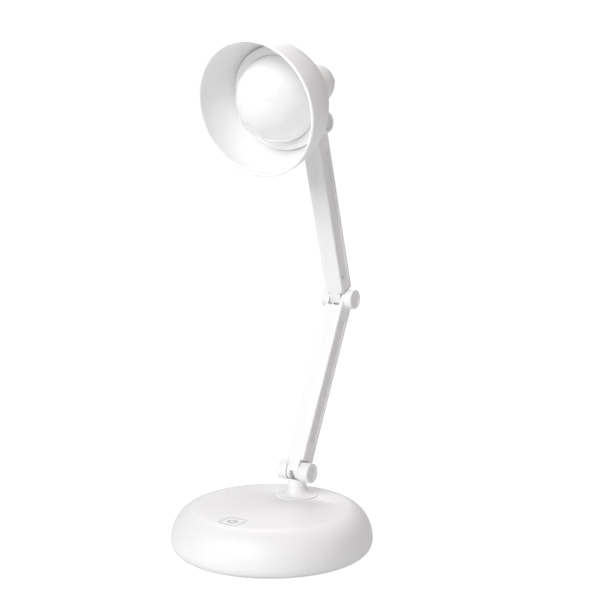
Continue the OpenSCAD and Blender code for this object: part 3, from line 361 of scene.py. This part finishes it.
def makeScrewTree():
    tree, given, out = newTree("crossScrew", {
        "Profile": "Object", "Places": "Object", "Steps": "Int", "Turning Radius": "Float",
        "Slot Length": "Float", "Slot Width": "Float", "Slot Depth": "Float", "Head Height": "Float",
        "Finish": "Material"})
    body = turnedBody(tree, given)
    deep = addStep(tree, "ShaderNodeMath", {0: given.outputs["Slot Depth"], 1: 2.0}, operation="MULTIPLY")
    long = addStep(tree, "ShaderNodeCombineXYZ", {"X": given.outputs["Slot Length"],
                                                  "Y": given.outputs["Slot Width"], "Z": deep.outputs[0]})
    wide = addStep(tree, "ShaderNodeCombineXYZ", {"X": given.outputs["Slot Width"],
                                                  "Y": given.outputs["Slot Length"], "Z": deep.outputs[0]})
    top = addStep(tree, "ShaderNodeMath", {0: given.outputs["Head Height"], 1: -1.0}, operation="MULTIPLY")
    lift = addStep(tree, "ShaderNodeCombineXYZ", {"Z": top.outputs[0]})
    bars = []
    for size in (long, wide):
        block = addStep(tree, "MeshCube", {"Size": size.outputs[0]})
        bars.append(addStep(tree, "Transform", {"Geometry": block.outputs[0],
                                                "Translation": lift.outputs[0]}))
    cut = addStep(tree, "MeshBoolean", {"Mesh 1": body}, operation="DIFFERENCE", solver="EXACT")
    for bar in bars:
        tree.links.new(bar.outputs[0], cut.inputs["Mesh 2"])
    placedBody(tree, given, out, cut.outputs["Mesh"])
    return tree


def makeStrokeTree():
    tree, given, out = newTree("printedStroke", {"Path": "Object", "Stroke Width": "Float",
                                                 "Ink Height": "Float", "Finish": "Material"})
    edges = addStep(tree, "ObjectInfo", {"Object": given.outputs["Path"]})
    line = addStep(tree, "MeshToCurve", {"Mesh": edges.outputs["Geometry"]})
    nib = addStep(tree, "CurvePrimitiveQuadrilateral", {"Width": given.outputs["Stroke Width"],
                                                        "Height": given.outputs["Ink Height"]})
    ink = addStep(tree, "CurveToMesh", {"Curve": line.outputs[0], "Profile Curve": nib.outputs[0],
                                        "Fill Caps": True})
    real = addStep(tree, "RealizeInstances", {"Geometry": ink.outputs[0]})
    done = addStep(tree, "SetMaterial", {"Geometry": real.outputs[0], "Material": given.outputs["Finish"]})
    tree.links.new(done.outputs[0], out.inputs[0])
    return tree


turnedTree, screwTree, strokeTree = makeTurnedTree(), makeScrewTree(), makeStrokeTree()
print("trees made")


def linked(name, mesh):
    obj = bpy.data.objects.new(name, mesh)
    bpy.context.scene.collection.objects.link(obj)
    return obj


def lineObject(points, closed):
    mesh = bpy.data.meshes.new("line")
    n = len(points)
    mesh.from_pydata(points, [(i, (i + 1) % n) for i in range(n if closed else n - 1)], [])
    return linked("line", mesh)


def placeObject(places):
    mesh = bpy.data.meshes.new("places")
    mesh.from_pydata([p for p, axis in places], [], [])
    axes = mesh.attributes.new("axis", "FLOAT_VECTOR", "POINT")
    for i, (p, axis) in enumerate(places):
        axes.data[i].vector = axis
    return linked("places", mesh)


def bakedMesh(obj):
    return bpy.data.meshes.new_from_object(obj.evaluated_get(bpy.context.evaluated_depsgraph_get()))


def fromTree(tree, values, helpers):
    # one plain mesh from a tree: inputs set by identifier, baked, helpers and modifier gone
    carrier = linked("carrier", bpy.data.meshes.new("carrier"))
    modifier = carrier.modifiers.new("tree", "NODES")
    modifier.node_group = tree
    for item in tree.interface.items_tree:
        if item.item_type == "SOCKET" and item.in_out == "INPUT":
            modifier[item.identifier] = values[item.name]
    mesh = bakedMesh(carrier)
    for obj in (carrier, *helpers):
        bpy.data.objects.remove(obj)
    return mesh


def shaded(mesh, crease):
    # smooth faces, with the edges sharp that turn by more than crease degrees
    mesh.shade_smooth()
    mesh.set_sharp_from_angle(angle=math.radians(crease))
    return mesh


def cleaned(mesh, crease=30):
    b = bmesh.new()
    b.from_mesh(mesh)
    bmesh.ops.remove_doubles(b, verts=b.verts, dist=fineWeld)
    bmesh.ops.recalc_face_normals(b, faces=b.faces)
    b.to_mesh(mesh)
    b.free()
    return shaded(mesh, crease)


def joinedMesh(name, meshes, material):
    b = bmesh.new()
    for mesh in meshes:
        b.from_mesh(mesh)
    whole = bpy.data.meshes.new(name)
    whole.materials.append(material)
    for face in b.faces:
        face.material_index = 0
    b.to_mesh(whole)
    b.free()
    return whole


def dressed(name, mesh, node):
    piece = linked(name, mesh)
    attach(piece, bodyOf[node])
    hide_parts(node)
    return piece


def roundedCorners(corners, closed, steps=5):
    # corners as (x, y, rounding) become points on straight runs and small arcs
    points = []
    for i, (x, y, turn) in enumerate(corners):
        if turn == 0 or (not closed and i in (0, len(corners) - 1)):
            points.append((x, y))
            continue
        here = Vector((x, y))
        back = Vector(corners[i - 1][:2]) - here
        ahead = Vector(corners[(i + 1) % len(corners)][:2]) - here
        half = back.angle(ahead) / 2
        reach = min(turn / math.tan(half), 0.49 * back.length, 0.49 * ahead.length)
        radius = reach * math.tan(half)
        back.normalize()
        ahead.normalize()
        middle = here + (back + ahead).normalized() * (radius / math.sin(half))
        first, last = here + back * reach - middle, here + ahead * reach - middle
        start = math.atan2(first.y, first.x)
        swing = (math.atan2(last.y, last.x) - start + math.pi) % (2 * math.pi) - math.pi
        for k in range(steps + 1):
            a = start + swing * k / steps
            points.append((middle.x + radius * math.cos(a), middle.y + radius * math.sin(a)))
    return points


def ovalArc(wide, deep, start, stop, steps, middle=(0, 0)):
    return [(middle[0] + wide * math.cos(a), middle[1] + deep * math.sin(a), 0)
            for a in (start + (stop - start) * k / steps for k in range(steps + 1))]


def turned(corners, places, material, steps, closed=False, arcSteps=5):
    # corners as (radius, place along the axis, rounding) in millimetres
    points = roundedCorners(corners, closed, arcSteps)
    profile = lineObject([(r / 1000, -s / 1000, 0) for r, s in points], closed)
    spots = placeObject(places)
    mesh = fromTree(turnedTree, {"Profile": profile, "Places": spots, "Steps": steps,
                                 "Turning Radius": turningRadius, "Finish": material}, (profile, spots))
    return cleaned(mesh)


# the bowl's own frame: from the middle of its rim plane, along its axis to the back, and upward
bowlSettings = {"tilt": 14.0, "rimBehindHinge": -55.1, "rimAboveHinge": 22.0}
tilt = math.radians(bowlSettings["tilt"])
alongAxis = Vector((0, math.cos(tilt), math.sin(tilt)))
upFromAxis = Vector((0, -math.sin(tilt), math.cos(tilt)))
sideways = Vector((1, 0, 0))
rimMiddle = (jointAt["head_hinge"] + alongAxis * (bowlSettings["rimBehindHinge"] / 1000)
             + upFromAxis * (bowlSettings["rimAboveHinge"] / 1000))

# in millimetres; rimFrom and crease are degrees, and the names that end in Steps count facets
shadeSettings = {"rimRadius": 39.6, "depth": 47.8, "wall": 1.9, "seatInside": 3.0, "seatThickness": 2.2,
                 "ledgeInner": 29.0, "ledgeFront": 26.64, "ledgeThickness": 1.6, "edge": 0.3,
                 "wireHole": 2.8, "wireHoleEdge": 0.2, "rimFrom": 2, "crease": 30,
                 "bowlSteps": 192, "outsideSteps": 40, "deepSteps": 18, "nearSteps": 28, "rimSteps": 14,
                 "posts": 3, "postFront": 31.64, "postRadius": 2.4, "postBore": 0.95, "postPlace": 13.0,
                 "postEdge": 0.2, "postBoreEdge": 0.15, "postSteps": 32, "rootDepth": 0.3, "smallSteps": 3,
                 "ringRadius": 10.7, "ringWall": 1.4, "ringHeight": 2.0, "ringEdge": 0.3,
                 "ringBoreEdge": 0.2, "ringSteps": 96, "housingDrop": 0.8,
                 "boreSide": 6.4, "boreRadius": 1.6, "boreOver": 1, "boreSteps": 32}


def makeShade(s):
    material = finish["satinAbs"]
    back = s["depth"] - s["seatInside"]
    front = back - s["seatThickness"]
    innerR, innerD = s["rimRadius"] - s["wall"], s["depth"] - s["wall"]
    half = s["wall"] / 2
    ledgeBack = s["ledgeFront"] + s["ledgeThickness"]
    rimFrom = math.radians(s["rimFrom"])
    outside = ovalArc(s["rimRadius"], s["depth"], rimFrom, math.asin(back / s["depth"]), s["outsideSteps"])
    outside[-1] = (*outside[-1][:2], s["edge"])
    insideDeep = ovalArc(innerR, innerD, math.asin(front / innerD), math.asin(ledgeBack / innerD),
                         s["deepSteps"])
    insideNear = ovalArc(innerR, innerD, math.asin(s["ledgeFront"] / innerD), rimFrom, s["nearSteps"])
    ledge = [(s["ledgeInner"], ledgeBack, s["edge"]), (s["ledgeInner"], s["ledgeFront"], s["edge"])]
    rim = ovalArc(half, half, math.pi, 2 * math.pi, s["rimSteps"], (s["rimRadius"] - half, half))
    wireHole = [(s["wireHole"], back, s["wireHoleEdge"]), (s["wireHole"], front, s["wireHoleEdge"])]
    bowl = turned([*outside, *wireHole, *insideDeep, *ledge, *insideNear, *rim], [(rimMiddle, alongAxis)],
                  material, s["bowlSteps"], True)
    # the posts and the spigot stand a little way inside the wall that carries them
    posts = []
    for i in range(s["posts"]):
        a = math.radians(90 + 360 / s["posts"] * i)
        outward = sideways * math.cos(a) - upFromAxis * math.sin(a)
        posts.append((rimMiddle + outward * (s["postPlace"] / 1000), alongAxis))
    root = front + s["rootDepth"]
    post = turned([(s["postBore"], s["postFront"], s["postBoreEdge"]),
                   (s["postRadius"], s["postFront"], s["postEdge"]),
                   (s["postRadius"], root, 0), (s["postBore"], root, 0)],
                  posts, material, s["postSteps"], True, s["smallSteps"])
    dropped = rimMiddle - upFromAxis * (s["housingDrop"] / 1000)
    ringInner, ringRoot = s["ringRadius"] - s["ringWall"], back - s["rootDepth"]
    ringBack = back + s["ringHeight"]
    spigot = turned([(ringInner, ringRoot, 0), (ringInner, ringBack, s["ringBoreEdge"]),
                     (s["ringRadius"], ringBack, s["ringEdge"]), (s["ringRadius"], ringRoot, 0)],
                    [(dropped, alongAxis)], material, s["ringSteps"], True, s["smallSteps"])
    near, far = front - s["boreOver"], back + s["boreOver"]
    pins = turned([(0, near, 0), (s["boreRadius"], near, 0), (s["boreRadius"], far, 0), (0, far, 0)],
                  [(dropped + sideways * (x / 1000), alongAxis) for x in (-s["boreSide"], s["boreSide"])],
                  material, s["boreSteps"])
    whole, cutter = linked("bowl", bowl), linked("pins", pins)
    cut = whole.modifiers.new("bores", "BOOLEAN")
    cut.object, cut.operation, cut.solver = cutter, "DIFFERENCE", "EXACT"
    bored = bakedMesh(whole)
    for obj in (whole, cutter):
        bpy.data.objects.remove(obj)
    mesh = shaded(joinedMesh("bowlShade", [bored, post, spigot], material), s["crease"])
    return dressed("bowlShade", mesh, "shade")


domeSettings = {"radius": 25.3, "wall": 1.4, "widest": 25.34, "lipWidth": 1.7, "lipThickness": 1.0,
                "edge": 0.15, "outsideSteps": 48, "insideSteps": 36, "domeSteps": 176}


def makeDome(s):
    inner = s["radius"] - s["wall"]
    outside = ovalArc(s["radius"], s["radius"], -math.pi / 2, 0, s["outsideSteps"], (0, s["widest"]))
    inside = ovalArc(inner, inner, 0, -math.pi / 2, s["insideSteps"], (0, s["widest"]))
    lip = s["radius"] + s["lipWidth"]
    back = s["widest"] + s["lipThickness"]
    edge = s["edge"]
    mesh = turned([*outside, (lip, s["widest"], edge), (lip, back, edge), (inner, back, edge), *inside],
                  [(rimMiddle, alongAxis)], finish["frostedDome"], s["domeSteps"])
    return dressed("frostedDiffuser", mesh, "diffuser_dome")


capSettings = {"radius": 4.4, "thickness": 0.9, "dish": 0.3, "rim": 0.8, "edge": 0.12, "innerEdge": 0.1,
               "outerFace": 10.0, "dishSteps": 12, "capSteps": 72}


def makeCaps(s, name, node, joint):
    wide = s["radius"] - s["rim"]
    hollow = (wide * wide + s["dish"] ** 2) / (2 * s["dish"])
    reach = math.asin(wide / hollow)
    top = s["thickness"]
    dish = ovalArc(hollow, hollow, -math.pi / 2 + reach, -math.pi / 2, s["dishSteps"],
                   (0, top - s["dish"] + hollow))
    dish[0] = (*dish[0][:2], s["edge"])
    inside = (s["outerFace"] - top) / 1000
    places = [(jointAt[joint] + Vector((side * inside, 0, 0)), Vector((side, 0, 0))) for side in (-1, 1)]
    mesh = turned([(0, 0, 0), (s["radius"], 0, s["innerEdge"]), (s["radius"], top, s["edge"]), *dish], places,
                  finish["satinAbs"], s["capSteps"])
    return dressed(name, mesh, node)


makeShade(shadeSettings)
makeDome(domeSettings)
for name, node, joint in (("baseHingeCaps", "base_hinge_caps", "base_hinge"),
                          ("elbowCaps", "elbow_caps", "elbow"),
                          ("headHingeCaps", "head_hinge_caps", "head_hinge")):
    makeCaps(capSettings, name, node, joint)
print("bowl, dome and hinge caps turned")

# shares of the solid screw's head radius (crown, slotLength, slotWidth), head height (edge, brimEdge,
# slotDepth), core (threadDepth, pointWide, tipWide) and tip (pointFrom); the others are in millimetres
screwSettings = {"crown": 0.5, "crownEdge": 0.1, "edge": 0.35, "brimEdge": 0.3, "underEdge": 0.05,
                 "slotLength": 1.15, "slotWidth": 0.3, "slotDepth": 0.5, "threadFrom": 0.15,
                 "threadPitch": 0.5, "threadDepth": 0.16, "tip": 0.8, "pointFrom": 0.6, "pointWide": 0.7,
                 "tipWide": 0.45, "screwSteps": 28, "arcSteps": 3, "crease": 35}
# how the solid screw is measured: its head's rim as a share of its widest, and its end in metres
screwGauge = {"rimShare": 0.9, "endZone": 0.00001}


def islandsOf(node):
    # goes by the vertices' own order, so that each run gives the same screws
    b = bmesh.new()
    b.from_mesh(nodes[node].data)
    bmesh.ops.remove_doubles(b, verts=b.verts, dist=fineWeld)
    b.verts.index_update()
    seen, found = set(), []
    for start in b.verts:
        if start.index in seen:
            continue
        seen.add(start.index)
        group = [start]
        for v in group:  # the list grows while it is read
            for edge in v.link_edges:
                other = edge.other_vert(v)
                if other.index not in seen:
                    seen.add(other.index)
                    group.append(other)
        found.append(np.array([v.co[:] for v in group]))
    b.free()
    return found


def screwSizes(points, gauge):
    # across a round screw two of the three main spreads are alike, and its axis is the third
    middle = points.mean(axis=0)
    values, vectors = np.linalg.eigh(np.cov((points - middle).T))
    axis = vectors[:, 2] if values[1] - values[0] < values[2] - values[1] else vectors[:, 0]
    along = (points - middle) @ axis
    away = np.linalg.norm(points - middle - np.outer(along, axis), axis=1)
    brim = away > gauge["rimShare"] * away.max()
    if along[brim].mean() > 0:
        axis, along = -axis, -along
    under = along[brim].max()
    sizes = {"head": away.max(), "headHeight": under - along.min(), "length": along.max() - under,
             "core": away[along > along.max() - gauge["endZone"]].max()}
    return Vector(middle + axis * under), Vector(axis), {k: float(v) * 1000 for k, v in sizes.items()}


def makeScrews(s, name, node):
    found = [screwSizes(points, screwGauge) for points in islandsOf(node)]
    size = found[0][2]
    high, wide, core, long = size["headHeight"], size["head"], size["core"], size["length"]
    crown = [(0, -high, 0), (wide * s["crown"], -high, s["crownEdge"]),
             (wide, -high * (1 - s["edge"]), high * s["brimEdge"]), (wide, 0, s["underEdge"]), (core, 0, 0)]
    thread = []
    turns = int((long - s["tip"]) / s["threadPitch"])
    for i in range(turns):
        at = i * s["threadPitch"] + s["threadFrom"]
        thread += [(core * (1 - s["threadDepth"]), at, 0), (core, at + s["threadPitch"] / 2, 0)]
    point = [(core * s["pointWide"], long - s["tip"] * s["pointFrom"], 0), (core * s["tipWide"], long, 0),
             (0, long, 0)]
    outline = roundedCorners(crown + thread + point, False, s["arcSteps"])
    profile = lineObject([(r / 1000, -t / 1000, 0) for r, t in outline], False)
    spots = placeObject([(at, axis) for at, axis, sizes in found])
    mesh = fromTree(screwTree, {"Profile": profile, "Places": spots, "Steps": s["screwSteps"],
                                "Turning Radius": turningRadius,
                                "Slot Length": wide * s["slotLength"] / 1000,
                                "Slot Width": wide * s["slotWidth"] / 1000,
                                "Slot Depth": high * s["slotDepth"] / 1000, "Head Height": high / 1000,
                                "Finish": finish["zincSteel"]}, (profile, spots))
    return dressed(name, shaded(mesh, s["crease"]), node)


for name, node in (("coverScrews", "base_cover_screws"), ("weightScrews", "weight_screws"),
                   ("boardScrews", "control_board_screws"), ("touchBoardScrews", "touch_board_screws"),
                   ("lowerArmScrews", "lower_arm_screws"), ("upperArmScrews", "upper_arm_screws"),
                   ("lightBoardScrews", "led_board_screws"), ("housingScrews", "housing_screws")):
    print(name, len(makeScrews(screwSettings, name, node).data.polygons), "faces")

# the touch switch's mark: a power sign in a rounded square, printed on the base's top
markSettings = {"middle": (0, -38.4), "top": 26.0, "half": 6.25, "corner": 1.7, "frameStroke": 0.45,
                "signStroke": 0.6, "signRadius": 2.5, "gap": 35, "barFrom": 0.5, "barTo": 3.3, "ink": 0.03,
                "cornerSteps": 8, "arcSteps": 48}


def makeMark(s):
    x, y = s["middle"]
    h = s["half"]
    square = [(x + h * i, y + h * j, s["corner"]) for i, j in ((-1, -1), (1, -1), (1, 1), (-1, 1))]
    frameLine = roundedCorners(square, True, s["cornerSteps"])
    n = s["arcSteps"]
    arc = [(x + s["signRadius"] * math.cos(a), y + s["signRadius"] * math.sin(a))
           for a in (math.radians(90 + s["gap"] + (360 - 2 * s["gap"]) * k / n) for k in range(n + 1))]
    bar = [(x, y + s["barFrom"]), (x, y + s["barTo"])]
    for name, colour, stroke, lines in (
            ("markFrame", finish["printPale"], s["frameStroke"], [(frameLine, True)]),
            ("powerSign", finish["printGrey"], s["signStroke"], [(arc, False), (bar, False)])):
        meshes = []
        for points, closed in lines:
            path = lineObject([(px / 1000, py / 1000, s["top"] / 1000) for px, py in points], closed)
            values = {"Path": path, "Stroke Width": stroke / 1000, "Ink Height": s["ink"] * 2 / 1000,
                      "Finish": colour}
            meshes.append(fromTree(strokeTree, values, (path,)))
        mesh = joinedMesh(name, meshes, colour)
        b = bmesh.new()
        b.from_mesh(mesh)
        bmesh.ops.recalc_face_normals(b, faces=b.faces)
        b.to_mesh(mesh)
        b.free()
        piece = linked(name, mesh)
        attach(piece, bodyOf["base_shell"])


makeMark(markSettings)
print("touch mark printed")


# weld in metres, angles in degrees: nearly flat edges are dissolved, the sharp ones are rounded
softSettings = {"weld": 0.000002, "flatAngle": 0.4, "sharpAngle": 32, "segments": 3, "crease": 30}


def softened(s, node, width):
    # the node's own form with its sharp edges rounded, as a moulding has them
    mesh = nodes[node].data.copy()
    b = bmesh.new()
    b.from_mesh(mesh)
    bmesh.ops.remove_doubles(b, verts=b.verts, dist=s["weld"])
    bmesh.ops.dissolve_limit(b, angle_limit=math.radians(s["flatAngle"]), verts=b.verts, edges=b.edges)
    b.to_mesh(mesh)
    b.free()
    carrier = linked("carrier", mesh)
    bevel = carrier.modifiers.new("edges", "BEVEL")
    bevel.width, bevel.segments = width, s["segments"]
    bevel.limit_method, bevel.angle_limit = "ANGLE", math.radians(s["sharpAngle"])
    bevel.use_clamp_overlap = True
    bevel.miter_outer = "MITER_ARC"
    baked = shaded(bakedMesh(carrier), s["crease"])
    bpy.data.objects.remove(carrier)
    words = node.split("_")
    return dressed(words[0] + "".join(w.capitalize() for w in words[1:]) + "Soft", baked, node)


# rounding of the sharp edges, in metres
edgeSettings = {"lower_arm_frame": 0.00025, "upper_arm_frame": 0.00025, "neck": 0.0003,
                "head_housing": 0.0003, "dome_ring": 0.0004, "base_shell": 0.0002, "base_cover": 0.0002}
for node, width in edgeSettings.items():
    piece = softened(softSettings, node, width)
    print("softened", node, len(piece.data.polygons), "faces")
